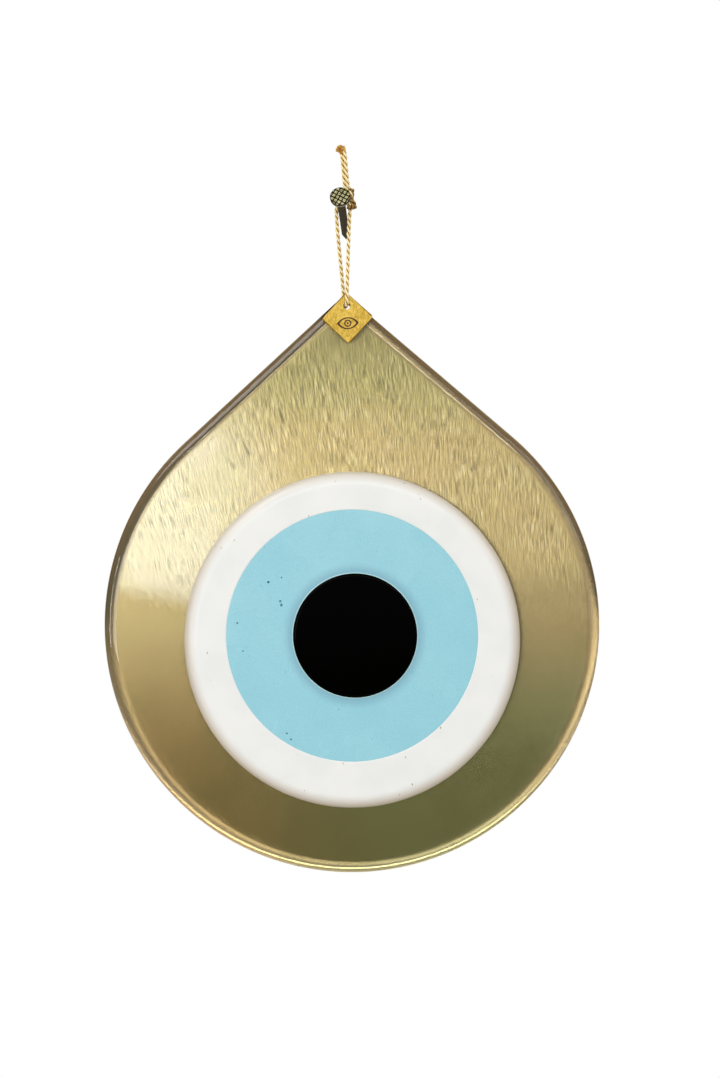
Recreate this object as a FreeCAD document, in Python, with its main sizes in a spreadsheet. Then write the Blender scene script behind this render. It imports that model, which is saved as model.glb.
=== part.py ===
import FreeCAD, Part
import math
import os
import PartDesign
import Sketcher
from FreeCAD import Placement, Rotation, Vector

# An evil eye wall ornament: a drop-shaped glass plate with a brushed gold layer behind it and a
# white, a blue and a black glass disc fused on its front. It hangs from a wall nail on a twisted
# cord that also carries a small brass tag.
#
# Millimetres. The wall is the plane y = 0 and the object is in front of it, towards -Y. +Z is up.
# The origin is where the nail's axis goes into the wall.

# ---------------------------------------------------------------- driving dimensions

SIZES = {
    # the nail
    "nail_slope": (20.0, "degrees that the nail rises from the wall to its head"),
    "nail_lean": (3.3, "degrees that the nail leans to the left"),
    "nail_turn": (30.0, "degrees that the chequered face's rows fall to the right"),
    "nail_diameter": (3.2, "shank, from the wall's surface to the point"),
    "neck_diameter": (3.3, "shank under the head, to which it widens from the wall"),
    "nail_out": (20.0, "wall surface to the head's face, along the nail"),
    "nail_in": (18.0, "wall surface to the point, along the nail"),
    "point_length": (5.0, "taper of the point"),
    "tip_flat": (0.3, "radius of the point's blunt end"),
    "head_diameter": (8.2, "nail head"),
    "head_thickness": (1.9, "nail head, at its rim"),
    "head_cone": (0.9, "height of the cone under the head"),
    "head_edge": (0.35, "bevel of the head's rim"),
    "check_pitch": (1.6, "distance between the grooves of the chequered face"),
    "check_width": (0.5, "width of those grooves"),
    "check_depth": (0.3, "depth of those grooves"),
    # the glass plate and the layers behind it
    "wall_gap": (2.4, "wall to the back of the plate, where the cord runs"),
    "film_thickness": (0.3, "backing film"),
    "gold_thickness": (0.2, "gold layer"),
    "glass_thickness": (6.0, "clear plate"),
    "plate_width": (198.4, "widest, across the round part"),
    "tip_rise": (32.2, "top of the plate's round part to the rounded tip"),
    "tip_radius": (4.0, "outline radius of the tip"),
    "front_round": (3.4, "melted round of the plate's front edge"),
    "round_share": (0.86, "most that this round may be of the tip's radius"),
    "back_round": (1.0, "melted round of the plate's back edge"),
    "layer_inset": (1.2, "plate outline to the outline of the layers behind it"),
    "plate_hole": (4.2, "diameter of the hole for the cord"),
    "hole_from_tip": (4.6, "rounded tip to the centre of that hole"),
    "layer_hole_margin": (0.5, "how much wider the hole in the layers is, on the radius"),
    # the discs
    "white_diameter": (134.2, "white disc"),
    "white_thickness": (5.0, "white disc"),
    "white_round": (4.0, "melted round of the white disc's front edge"),
    "white_below": (5.8, "centre of the plate's round part down to the white disc's centre"),
    "blue_diameter": (100.4, "blue disc"),
    "blue_thickness": (2.6, "blue disc, flush with the white one"),
    "blue_below": (4.0, "centre of the plate's round part down to the blue disc's centre"),
    "pupil_diameter": (49.4, "black disc"),
    "pupil_depth": (1.4, "how deep the black disc is let into the blue one"),
    "pupil_proud": (0.8, "how far the black disc stands out"),
    "pupil_round": (0.7, "melted round of the black disc's edge"),
    "pupil_right": (1.2, "how far the black disc is off centre"),
    # the tag
    "tag_side": (14.6, "side of the square"),
    "tag_corner": (1.0, "outline radius of its corners"),
    "tag_thickness": (1.0, "brass sheet"),
    "tag_gap": (0.2, "glass to the back of the tag"),
    "tag_right": (0.6, "middle of the plate's hole to the middle of the tag's"),
    "tag_lean": (2.3, "degrees that the tag hangs off straight"),
    "tag_hole": (2.9, "diameter of its hole"),
    "tag_hole_down": (5.5, "sharp top corner to the centre of the hole"),
    "mark_down": (7.0, "hole down to the centre of the engraved eye"),
    "mark_depth": (0.15, "engraving"),
    "mark_line": (0.5, "line width of the engraving"),
    "eye_width": (8.6, "engraved eye, corner to corner"),
    "eye_height": (4.8, "engraved eye, lid to lid"),
    "iris_diameter": (2.9, "engraved ring"),
    "dot_diameter": (0.8, "engraved dot"),
    # the cord
    "cord_diameter": (1.7, "twisted cord"),
    "cord_reach": (35.9, "the cord's run through tag and plate, below the origin"),
    "cord_sag": (0.9, "the plate's hole centre, below that run"),
    "knot_height": (9.5, "knot"),
    "knot_width": (4.9, "knot"),
    "knot_tilt": (8.0, "degrees that the knot's top leans to the left"),
    "tuft_bottom": (3.2, "diameter of the tied end, below"),
    "tuft_top": (4.0, "diameter of the frayed end, above"),
    "tuft_height": (3.8, "tied and frayed end"),
}

# The cord's routes, as chosen points. The loop starts in the knot, goes down in front of the tag,
# back through tag and plate, up behind the plate and over the nail into the knot again.
LOOP_ROUTE = [
    (3.2, -8.0, 4.6),
    (2.45, -7.5, 2.2),
    (0.8, -11.6, -30.1),
    (0.75, -11.6, -34.8),
    (0.65, -10.5, -35.9),
    (-0.45, -2.3, -35.9),
    (-0.5, -1.2, -34.8),
    (-0.6, -1.2, -30.1),
    (-3.28, -7.5, 3.9),
    (-1.6, -7.5, 5.6),
    (0.3, -7.55, 5.7),
    (1.9, -7.7, 6.2),
]
LEFT_TAIL_ROUTE = [
    (1.6, -7.4, 9.8),
    (0.65, -7.4, 12.6),
    (0.3, -7.35, 19.3),
    (-0.2, -7.4, 25.8),
]
RIGHT_TAIL_ROUTE = [
    (2.9, -8.6, 9.8),
    (1.9, -8.7, 12.6),
    (1.5, -8.7, 19.3),
    (1.05, -8.7, 25.8),
]
KNOT_CENTRE = Vector(3.0, -8.0, 6.9)
TUFT_BASE = Vector(0.2, -8.0, 25.4)

# Shares that shape an arc of a cord, and the accuracy that its volume is held to.
ARC_SHARE = 0.45
VOLUME_SLACK = 0.01
# Two coordinates closer than this are the same.
SAME = 1e-4

doc = FreeCAD.newDocument("evil_eye_ornament")
sheet = doc.addObject("Spreadsheet::Sheet", "sizes")
for row, (alias, (number, note)) in enumerate(SIZES.items(), start=1):
    sheet.set(f"A{row}", alias)
    sheet.set(f"B{row}", str(number))
    sheet.setAlias(f"B{row}", alias)
    sheet.set(f"C{row}", note)
doc.recompute()

# ---------------------------------------------------------------- expressions of the layout

GLASS_BACK = "(sizes.wall_gap + sizes.film_thickness + sizes.gold_thickness)"
GLASS_FRONT = f"({GLASS_BACK} + sizes.glass_thickness)"
TAG_BACK = f"({GLASS_FRONT} + sizes.tag_gap)"
TIP = "(sizes.plate_width / 2 + sizes.tip_rise)"
TIP_CENTRE = f"({TIP} - sizes.tip_radius)"
HOLE_HEIGHT = f"({TIP} - sizes.hole_from_tip)"
PLATE_DOWN = f"(sizes.cord_reach + sizes.cord_sag + {HOLE_HEIGHT})"
SHANK = "(sizes.nail_diameter / 2)"
HEAD = "(sizes.head_diameter / 2)"


def value(expression):
    """The number that an expression on the sheet stands for."""
    return float(sheet.evalExpression(expression))


def size(alias):
    """A driving dimension."""
    return float(sheet.get(alias))


# ---------------------------------------------------------------- helpers for bodies


def new_body(label):
    """An empty body whose label is the sub-part's name."""
    body = doc.addObject("PartDesign::Body", label)
    body.Label = label
    return body


def new_sketch(body, name, role="XZ_Plane", height="0"):
    """A sketch on one of the body's own planes, moved out of that plane by height."""
    sketch = body.newObject("Sketcher::SketchObject", f"{body.Name}_{name}")
    plane = next(f for f in body.Origin.OriginFeatures if f.Role == role)
    sketch.AttachmentSupport = [(plane, "")]
    sketch.MapMode = "FlatFace"
    sketch.setExpression("AttachmentOffset.Base.z", height)
    return sketch


def constrain(sketch, expression, kind, *elements):
    """A dimension of the sketch that the expression drives."""
    constraint = Sketcher.Constraint(kind, *elements, value(expression))
    index = sketch.addConstraint(constraint)
    sketch.setExpression(f"Constraints[{index}]", expression)


def tie(sketch, kind, *elements):
    """A constraint with no number."""
    sketch.addConstraint(Sketcher.Constraint(kind, *elements))


ORIGIN = (-1, 1)
H_AXIS = -1
V_AXIS = -2
START, END, CENTRE = 1, 2, 3


def locate(sketch, geometry, point, across, up):
    """Hold a point of a sketch at (across, up) from the sketch's origin."""
    if value(across) == 0:
        tie(sketch, "PointOnObject", geometry, point, V_AXIS)
    else:
        constrain(sketch, across, "DistanceX", *ORIGIN, geometry, point)
    if value(up) == 0:
        tie(sketch, "PointOnObject", geometry, point, H_AXIS)
    else:
        constrain(sketch, up, "DistanceY", *ORIGIN, geometry, point)


def add_circle(sketch, diameter, across="0", up="0"):
    """A circle of a driven diameter at a driven place."""
    centre = Vector(value(across), value(up), 0)
    shape = Part.Circle(centre, Vector(0, 0, 1), value(diameter) / 2)
    circle = sketch.addGeometry(shape, False)
    constrain(sketch, diameter, "Diameter", circle)
    locate(sketch, circle, CENTRE, across, up)


def add_polygon(sketch, corners):
    """A closed outline of straight lines through driven corners."""
    points = [Vector(value(across), value(up), 0) for across, up in corners]
    ends = points[1:] + points[:1]
    lines = [
        sketch.addGeometry(Part.LineSegment(a, b), False) for a, b in zip(points, ends)
    ]
    for line, following in zip(lines, lines[1:] + lines[:1]):
        tie(sketch, "Coincident", line, END, following, START)
    for line, (across, up) in zip(lines, corners):
        locate(sketch, line, START, across, up)


def add_pad(body, sketch, length):
    """Material on the outward side of a sketch."""
    feature = body.newObject("PartDesign::Pad", f"{sketch.Name}_pad")
    feature.Profile = sketch
    feature.setExpression("Length", length)
    doc.recompute()
    return feature


def add_pocket(body, sketch, depth, outward=False):
    """A cut from a sketch into the material, which must make the body smaller."""
    before = body.Shape.Volume
    feature = body.newObject("PartDesign::Pocket", f"{sketch.Name}_pocket")
    feature.Profile = sketch
    feature.Reversed = outward
    feature.setExpression("Length", depth)
    doc.recompute()
    if not body.Shape.Volume < before:
        raise RuntimeError(f"{feature.Name} cuts nothing")
    return feature


def add_fillet(body, base, radius, is_wanted):
    """Round the edges of the base feature for which is_wanted holds."""
    feature = body.newObject("PartDesign::Fillet", f"{base.Name}_round")
    names = [
        f"Edge{number}"
        for number, edge in enumerate(base.Shape.Edges, start=1)
        if is_wanted(edge)
    ]
    feature.Base = (base, names)
    feature.setExpression("Radius", radius)
    doc.recompute()
    return feature


def lies_at(depth):
    """A test for the edges that lie in the plane at this depth in front of the body's back."""

    def test(edge):
        box = edge.BoundBox
        return abs(box.YMin + depth) < SAME and abs(box.YMax + depth) < SAME

    return test


def place(body, across, depth, up, rotation=Rotation()):
    """Put a body at a distance across, in front of the wall and above the origin."""
    body.Placement = Placement(Vector(), rotation)
    body.setExpression("Placement.Base.x", across)
    body.setExpression("Placement.Base.y", f"-{depth}")
    body.setExpression("Placement.Base.z", up)


# ---------------------------------------------------------------- the plate


def add_drop(sketch, inset="0"):
    """The plate's outline: a wide arc and a small tip arc, joined by tangent lines."""
    radius = f"(sizes.plate_width / 2 - {inset})"
    tip_radius = f"(sizes.tip_radius - {inset})"
    wide, small, apart = value(radius), value(tip_radius), value(TIP_CENTRE)
    slope = math.asin((wide - small) / apart)
    normal = Vector(0, 0, 1)
    tip_centre = Vector(0, apart, 0)
    out = Vector(math.cos(slope), math.sin(slope), 0)
    back = Vector(-out.x, out.y, 0)
    bottom = sketch.addGeometry(
        Part.ArcOfCircle(
            Part.Circle(Vector(), normal, wide), math.pi - slope, 2 * math.pi + slope
        )
    )
    right = sketch.addGeometry(Part.LineSegment(out * wide, tip_centre + out * small))
    tip = sketch.addGeometry(
        Part.ArcOfCircle(Part.Circle(tip_centre, normal, small), slope, math.pi - slope)
    )
    left = sketch.addGeometry(Part.LineSegment(tip_centre + back * small, back * wide))
    for piece, following in zip((bottom, right, tip, left), (right, tip, left, bottom)):
        tie(sketch, "Tangent", piece, END, following, START)
    constrain(sketch, radius, "Radius", bottom)
    constrain(sketch, tip_radius, "Radius", tip)
    locate(sketch, bottom, CENTRE, "0", "0")
    locate(sketch, tip, CENTRE, "0", TIP_CENTRE)


def make_glass_plate():
    """The clear plate with rounded edges and the hole at its tip."""
    body = new_body("glass_plate")
    outline = new_sketch(body, "outline")
    add_drop(outline)
    solid = add_pad(body, outline, "sizes.glass_thickness")
    front = lies_at(size("glass_thickness"))
    round_limit = "min(sizes.front_round; sizes.tip_radius * sizes.round_share)"
    rounded = add_fillet(body, solid, round_limit, front)
    add_fillet(body, rounded, "sizes.back_round", lies_at(0))
    hole = new_sketch(body, "hole")
    add_circle(hole, "sizes.plate_hole", up=HOLE_HEIGHT)
    add_pocket(body, hole, "sizes.glass_thickness", outward=True)
    place(body, "0", GLASS_BACK, f"-{PLATE_DOWN}")
    return body


def make_layer(label, thickness, back):
    """A thin layer behind the glass, a little smaller than the plate, with a wider hole."""
    body = new_body(label)
    outline = new_sketch(body, "outline")
    add_drop(outline, "sizes.layer_inset")
    add_pad(body, outline, thickness)
    hole = new_sketch(body, "hole")
    add_circle(hole, "sizes.plate_hole + 2 * sizes.layer_hole_margin", up=HOLE_HEIGHT)
    add_pocket(body, hole, thickness, outward=True)
    place(body, "0", back, f"-{PLATE_DOWN}")
    return body


def make_gold_layer():
    """The brushed gold layer against the back of the glass."""
    back = "(sizes.wall_gap + sizes.film_thickness)"
    return make_layer("gold_layer", "sizes.gold_thickness", back)


def make_backing_film():
    """The protective film behind the gold layer."""
    return make_layer("backing_film", "sizes.film_thickness", "sizes.wall_gap")


# ---------------------------------------------------------------- the eye

WHITE_UP = f"-({PLATE_DOWN} + sizes.white_below)"
BLUE_UP = f"-({PLATE_DOWN} + sizes.blue_below)"
WHITE_FRONT = f"({GLASS_FRONT} + sizes.white_thickness)"
BLUE_BACK = f"({WHITE_FRONT} - sizes.blue_thickness)"
PUPIL_BACK = f"({WHITE_FRONT} - sizes.pupil_depth)"
PUPIL_THICKNESS = "(sizes.pupil_depth + sizes.pupil_proud)"


def make_white_disc():
    """The white disc with a rounded edge and the seat of the blue disc."""
    body = new_body("white_disc")
    outline = new_sketch(body, "outline")
    add_circle(outline, "sizes.white_diameter")
    solid = add_pad(body, outline, "sizes.white_thickness")
    add_fillet(body, solid, "sizes.white_round", lies_at(size("white_thickness")))
    seat = new_sketch(body, "seat", height="sizes.white_thickness")
    add_circle(seat, "sizes.blue_diameter", up="sizes.white_below - sizes.blue_below")
    add_pocket(body, seat, "sizes.blue_thickness")
    place(body, "0", GLASS_FRONT, WHITE_UP)
    return body


def make_blue_disc():
    """The blue disc, flush in the white one, with the seat of the pupil."""
    body = new_body("blue_disc")
    outline = new_sketch(body, "outline")
    add_circle(outline, "sizes.blue_diameter")
    add_pad(body, outline, "sizes.blue_thickness")
    seat = new_sketch(body, "seat", height="sizes.blue_thickness")
    add_circle(seat, "sizes.pupil_diameter", across="sizes.pupil_right")
    add_pocket(body, seat, "sizes.pupil_depth")
    place(body, "0", BLUE_BACK, BLUE_UP)
    return body


def make_black_pupil():
    """The black disc, let into the blue one and a little proud of it."""
    body = new_body("black_pupil")
    outline = new_sketch(body, "outline")
    add_circle(outline, "sizes.pupil_diameter")
    solid = add_pad(body, outline, PUPIL_THICKNESS)
    add_fillet(body, solid, "sizes.pupil_round", lies_at(value(PUPIL_THICKNESS)))
    place(body, "sizes.pupil_right", PUPIL_BACK, BLUE_UP)
    return body


# ---------------------------------------------------------------- the tag


def add_lids(sketch, width, height):
    """An almond: two arcs that meet in two corners on the horizontal axis."""
    half, rise = value(width) / 2, value(height) / 2
    radius = f"(({width}) ^ 2 / ({height}) + ({height})) / 4"
    arc_radius = value(radius)
    drop = arc_radius - rise
    start = math.atan2(drop, half)
    normal = Vector(0, 0, 1)
    upper_circle = Part.Circle(Vector(0, -drop, 0), normal, arc_radius)
    lower_circle = Part.Circle(Vector(0, drop, 0), normal, arc_radius)
    upper = sketch.addGeometry(
        Part.ArcOfCircle(upper_circle, start, math.pi - start)
    )
    lower = sketch.addGeometry(
        Part.ArcOfCircle(lower_circle, math.pi + start, 2 * math.pi - start)
    )
    tie(sketch, "Coincident", upper, END, lower, START)
    tie(sketch, "Coincident", lower, END, upper, START)
    locate(sketch, upper, START, f"({width}) / 2", "0")
    tie(sketch, "PointOnObject", upper, END, H_AXIS)
    tie(sketch, "PointOnObject", upper, CENTRE, V_AXIS)
    for lid in (upper, lower):
        constrain(sketch, radius, "Radius", lid)


def add_mark(sketch):
    """The engraved eye: an almond line, a ring and a dot, around the sketch's origin."""
    line = "sizes.mark_line"
    shrink = "(1 - 2 * sizes.mark_line / sizes.eye_height)"
    add_lids(sketch, "sizes.eye_width", "sizes.eye_height")
    add_lids(sketch, f"sizes.eye_width * {shrink}", f"sizes.eye_height * {shrink}")
    add_circle(sketch, "sizes.iris_diameter")
    add_circle(sketch, f"sizes.iris_diameter - 2 * {line}")
    add_circle(sketch, "sizes.dot_diameter")


def mark_sketch(body, height):
    """The engraved eye's sketch on a body whose origin is the tag's hole."""
    sketch = new_sketch(body, "mark", height=height)
    add_mark(sketch)
    sketch.setExpression("AttachmentOffset.Base.y", "-sizes.mark_down")
    return sketch


def place_on_cord(body):
    """Hang a tag piece, whose origin is the tag's hole, on the cord's run."""
    lean = Rotation(Vector(0, -1, 0), size("tag_lean"))
    place(body, "sizes.tag_right", TAG_BACK, "-sizes.cord_reach", lean)


def make_brass_tag():
    """The square tag standing on a corner, with its hole and the engraving cut in."""
    body = new_body("brass_tag")
    reach = "(sizes.tag_side * sqrt(2) / 2)"
    middle = f"(sizes.tag_hole_down - {reach})"
    outline = new_sketch(body, "outline")
    add_polygon(
        outline,
        [
            ("0", "sizes.tag_hole_down"),
            (f"-{reach}", middle),
            ("0", f"sizes.tag_hole_down - 2 * {reach}"),
            (reach, middle),
        ],
    )
    solid = add_pad(body, outline, "sizes.tag_thickness")
    thickness = size("tag_thickness")
    rounded = add_fillet(
        body,
        solid,
        "sizes.tag_corner",
        lambda edge: abs(edge.BoundBox.YLength - thickness) < SAME,
    )
    hole = new_sketch(body, "hole")
    add_circle(hole, "sizes.tag_hole")
    add_pocket(body, hole, "sizes.tag_thickness", outward=True)
    if rounded.Shape.Volume >= solid.Shape.Volume:
        raise RuntimeError("the tag's corners aren't rounded")
    add_pocket(body, mark_sketch(body, "sizes.tag_thickness"), "sizes.mark_depth")
    place_on_cord(body)
    return body


def make_tag_mark():
    """The dark filling of the engraving: an almond line, a ring and a dot."""
    body = new_body("tag_mark")
    body.AllowCompound = True
    sketch = mark_sketch(body, "sizes.tag_thickness - sizes.mark_depth")
    add_pad(body, sketch, "sizes.mark_depth")
    place_on_cord(body)
    return body


# ---------------------------------------------------------------- the nail


def add_grooves(body, name, direction, corners):
    """Parallel grooves across the head's face, one pitch apart, patterned along direction."""
    sketch = new_sketch(body, name, "XY_Plane", "sizes.nail_out")
    add_polygon(sketch, corners)
    first = add_pocket(body, sketch, "sizes.check_depth")
    pattern = body.newObject("PartDesign::LinearPattern", f"{body.Name}_{name}_pattern")
    pattern.Originals = [first]
    pattern.Direction = (sketch, [direction])
    count = 2 * int(value(f"{HEAD} / sizes.check_pitch")) + 1
    pattern.Occurrences = count
    pattern.setExpression("Length", f"{count - 1} * sizes.check_pitch")
    body.Tip = pattern
    doc.recompute()


def make_wall_nail():
    """The nail: blunt point, shank, widening neck, coned head with a chequered face."""
    body = new_body("wall_nail")
    profile = new_sketch(body, "profile")
    under = "(sizes.nail_out - sizes.head_thickness)"
    add_polygon(
        profile,
        [
            ("0", "-sizes.nail_in"),
            ("sizes.tip_flat", "-sizes.nail_in"),
            (SHANK, "sizes.point_length - sizes.nail_in"),
            (SHANK, "0"),
            ("sizes.neck_diameter / 2", f"{under} - sizes.head_cone"),
            (f"{HEAD} - sizes.head_edge", under),
            (HEAD, f"{under} + sizes.head_edge"),
            (HEAD, "sizes.nail_out - sizes.head_edge"),
            (f"{HEAD} - sizes.head_edge", "sizes.nail_out"),
            ("0", "sizes.nail_out"),
        ],
    )
    turned = body.newObject("PartDesign::Revolution", "wall_nail_turned")
    turned.Profile = profile
    turned.ReferenceAxis = (profile, ["V_Axis"])
    turned.Angle = 360
    doc.recompute()
    steps = int(value(f"{HEAD} / sizes.check_pitch"))
    first = f"-{steps} * sizes.check_pitch"
    low = f"{first} - sizes.check_width / 2"
    high = f"{first} + sizes.check_width / 2"
    long = "sizes.head_diameter"
    across = [(f"-{long}", low), (long, low), (long, high), (f"-{long}", high)]
    upright = [(low, f"-{long}"), (high, f"-{long}"), (high, long), (low, long)]
    add_grooves(body, "rows", "V_Axis", across)
    add_grooves(body, "columns", "H_Axis", upright)
    slope = Rotation(Vector(1, 0, 0), 90 - size("nail_slope"))
    lean = Rotation(Vector(0, 0, 1), -size("nail_lean"))
    turn = Rotation(Vector(0, 0, 1), -size("nail_turn"))
    body.Placement = Placement(Vector(), lean * slope * turn)
    return body


# ---------------------------------------------------------------- the cord


def rounded_path(points):
    """Straight runs through the points, joined by tangent arcs. Returns (wire, radii)."""
    edges, radii = [], []
    start = points[0]
    for before, corner, after in zip(points, points[1:], points[2:]):
        arriving = corner - before
        leaving = after - corner
        half_turn = arriving.getAngle(leaving) / 2
        trim = ARC_SHARE * min(arriving.Length, leaving.Length)
        into = arriving.normalize()
        out = leaving.normalize()
        first = corner - into * trim
        last = corner + out * trim
        radius = trim / math.tan(half_turn)
        bisector = (out - into).normalize()
        centre = corner + bisector * (radius / math.cos(half_turn))
        middle = centre - bisector * radius
        edges.append(Part.LineSegment(start, first).toShape())
        edges.append(Part.Arc(first, middle, last).toShape())
        radii.append(radius)
        start = last
    edges.append(Part.LineSegment(start, points[-1]).toShape())
    return Part.Wire(edges), radii


def make_cord(label, route):
    """A stretch of the cord: a round tube along a route, checked by its volume."""
    wire, radii = rounded_path([Vector(*point) for point in route])
    radius = size("cord_diameter") / 2
    heading = Vector(*route[1]) - Vector(*route[0])
    ring = Part.Circle(Vector(*route[0]), heading, radius).toShape()
    shape = wire.makePipeShell([Part.Wire([ring])], True, False)
    wanted = math.pi * radius**2 * wire.Length
    if abs(shape.Volume - wanted) > VOLUME_SLACK * wanted:
        raise RuntimeError(f"{label} holds {shape.Volume}, not {wanted}")
    print(label, "length", round(wire.Length, 2), "radii", [round(r, 2) for r in radii])
    feature = doc.addObject("Part::Feature", label)
    feature.Label = label
    feature.Shape = shape
    feature.Placement = Placement()
    return feature


def make_cord_knot():
    """The knot's outer shape."""
    knot = doc.addObject("Part::Ellipsoid", "cord_knot")
    knot.Label = "cord_knot"
    knot.setExpression("Radius1", "sizes.knot_height / 2")
    knot.setExpression("Radius2", "sizes.knot_width / 2")
    knot.setExpression("Radius3", "sizes.knot_width / 2")
    knot.Placement = Placement(
        KNOT_CENTRE, Rotation(Vector(0, -1, 0), size("knot_tilt"))
    )
    return knot


def make_cord_tip():
    """The outer shape of the tied and frayed end of the two tails."""
    tuft = doc.addObject("Part::Cone", "cord_tip")
    tuft.Label = "cord_tip"
    tuft.setExpression("Radius1", "sizes.tuft_bottom / 2")
    tuft.setExpression("Radius2", "sizes.tuft_top / 2")
    tuft.setExpression("Height", "sizes.tuft_height")
    tuft.Placement = Placement(TUFT_BASE, Rotation())
    return tuft


# ---------------------------------------------------------------- build, check, write

sub_parts = [
    make_wall_nail(),
    make_cord("cord_loop", LOOP_ROUTE),
    make_cord("cord_tail_left", LEFT_TAIL_ROUTE),
    make_cord("cord_tail_right", RIGHT_TAIL_ROUTE),
    make_cord_knot(),
    make_cord_tip(),
    make_glass_plate(),
    make_gold_layer(),
    make_backing_film(),
    make_white_disc(),
    make_blue_disc(),
    make_black_pupil(),
    make_brass_tag(),
    make_tag_mark(),
]
doc.recompute()

for thing in doc.Objects:
    if "Invalid" in thing.State or "Error" in thing.State:
        raise RuntimeError(f"{thing.Label} failed: {thing.State}")
for part in sub_parts:
    if part.Shape.isNull() or not part.Shape.isValid():
        raise RuntimeError(f"{part.Label} has no valid shape")

os.makedirs("parts", exist_ok=True)
for part in sub_parts:
    part.Shape.exportStep(f"parts/{part.Label}.step")
    print(part.Label, "solids", len(part.Shape.Solids), "volume", round(part.Shape.Volume, 1))
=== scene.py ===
import math
import random

import bpy
import numpy as np
from mathutils import Matrix, Vector


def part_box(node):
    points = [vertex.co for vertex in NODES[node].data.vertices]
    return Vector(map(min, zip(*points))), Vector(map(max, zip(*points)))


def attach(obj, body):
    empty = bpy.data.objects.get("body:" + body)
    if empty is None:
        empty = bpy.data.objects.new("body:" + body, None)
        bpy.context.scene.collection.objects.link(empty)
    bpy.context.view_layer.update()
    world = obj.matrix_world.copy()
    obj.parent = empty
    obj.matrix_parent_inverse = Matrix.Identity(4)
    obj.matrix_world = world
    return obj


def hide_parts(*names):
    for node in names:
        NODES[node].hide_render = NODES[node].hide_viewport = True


# The looks of the evil eye ornament: a clear glass drop over a brushed gold layer, with a white, a
# blue and a black disc, a twisted gold cord, a brass tag and a nail. Metres, in the CAD's frame:
# the wall is the plane y = 0, the object faces -Y, and +Z is up.

MM = 0.001
SEED = 7

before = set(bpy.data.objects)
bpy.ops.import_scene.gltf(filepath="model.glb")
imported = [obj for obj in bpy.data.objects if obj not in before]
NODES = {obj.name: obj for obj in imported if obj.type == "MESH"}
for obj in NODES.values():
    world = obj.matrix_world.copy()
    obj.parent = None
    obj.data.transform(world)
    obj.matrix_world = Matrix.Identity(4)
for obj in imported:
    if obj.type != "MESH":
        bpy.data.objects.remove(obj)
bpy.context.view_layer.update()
bpy.context.scene.view_settings.view_transform = "Standard"

# ---------------- camera

AIM = Vector((3.95, -8.9, -129.2)) * MM
CAMERA_DISTANCE = 1.1
CAMERA_ROLL = math.radians(1.2)
VIEW_HEIGHT = 431.2 * MM
SENSOR = 24.0


def make_camera():
    """A level camera straight in front of the plate."""
    data = bpy.data.cameras.new("camera")
    data.sensor_fit = "VERTICAL"
    data.sensor_height = SENSOR
    data.lens = SENSOR * CAMERA_DISTANCE / VIEW_HEIGHT
    camera = bpy.data.objects.new("camera", data)
    camera.location = AIM - Vector((0, CAMERA_DISTANCE, 0))
    camera.rotation_euler = (math.pi / 2, CAMERA_ROLL, 0)
    bpy.context.collection.objects.link(camera)
    bpy.context.scene.camera = camera


make_camera()

# ---------------- meshes


def add_object(name, vertices, faces, uvs=None, smooth=True):
    """A mesh object; uvs has one pair per vertex."""
    mesh = bpy.data.meshes.new(name)
    mesh.from_pydata([tuple(v) for v in vertices], [], faces)
    mesh.update()
    if uvs is not None:
        layer = mesh.uv_layers.new(name="UVMap")
        for loop in mesh.loops:
            layer.data[loop.index].uv = uvs[loop.vertex_index]
    if smooth:
        mesh.shade_smooth()
    obj = bpy.data.objects.new(name, mesh)
    bpy.context.collection.objects.link(obj)
    return obj


def strip_faces(rings, count, first=0):
    """Quads between rings of count points each."""
    faces = []
    for ring in range(rings - 1):
        low = first + ring * count
        high = low + count
        for i in range(count):
            j = (i + 1) % count
            faces.append((low + i, low + j, high + j, high + i))
    return faces


def closed_faces(rings, count, first=0):
    """The same quads, with a face over each end."""
    last = first + (rings - 1) * count
    faces = strip_faces(rings, count, first)
    faces.append(tuple(reversed(range(first, first + count))))
    faces.append(tuple(range(last, last + count)))
    return faces


def skin(name, rings):
    """A surface through closed rings of points, with its two ends closed."""
    vertices = [point for ring in rings for point in ring]
    return add_object(name, vertices, closed_faces(len(rings), len(rings[0])))


def circle(centre_x, centre_z, radius, y, count=256):
    """Points of a circle that faces the front."""
    turns = [2 * math.pi * i / count for i in range(count)]
    return [
        Vector((centre_x + radius * math.cos(a), y, centre_z + radius * math.sin(a)))
        for a in turns
    ]


def quarter(width, height, steps):
    """Points of a rounded edge from its side to its flat: how far in, and how far up."""
    turns = [math.pi / 2 * i / steps for i in range(steps + 1)]
    return [(width * (1 - math.cos(a)), height * math.sin(a)) for a in turns]


def cut(obj, tool):
    """Take the tool's volume out of the object and drop the tool."""
    modifier = obj.modifiers.new("cut", "BOOLEAN")
    modifier.object = tool
    modifier.solver = "EXACT"
    depsgraph = bpy.context.evaluated_depsgraph_get()
    mesh = bpy.data.meshes.new_from_object(obj.evaluated_get(depsgraph))
    obj.modifiers.clear()
    obj.data = mesh
    bpy.data.objects.remove(tool)


def store(obj, name, formula):
    """Keep a number per vertex, worked out from its place."""
    values = obj.data.attributes.new(name, "FLOAT", "POINT")
    for i, vertex in enumerate(obj.data.vertices):
        values.data[i].value = formula(vertex.co)


# ---------------- materials: helpers


def link_or_set(tree, socket, value):
    """Feed a socket from another node's output, or set its number."""
    if isinstance(value, bpy.types.NodeSocket):
        tree.links.new(value, socket)
    else:
        socket.default_value = value


def add_node(tree, kind, inputs=None, **settings):
    """A node with its settings and inputs."""
    node = tree.nodes.new(kind)
    for name, value in settings.items():
        setattr(node, name, value)
    for name, value in (inputs or {}).items():
        link_or_set(tree, node.inputs[name], value)
    return node


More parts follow.
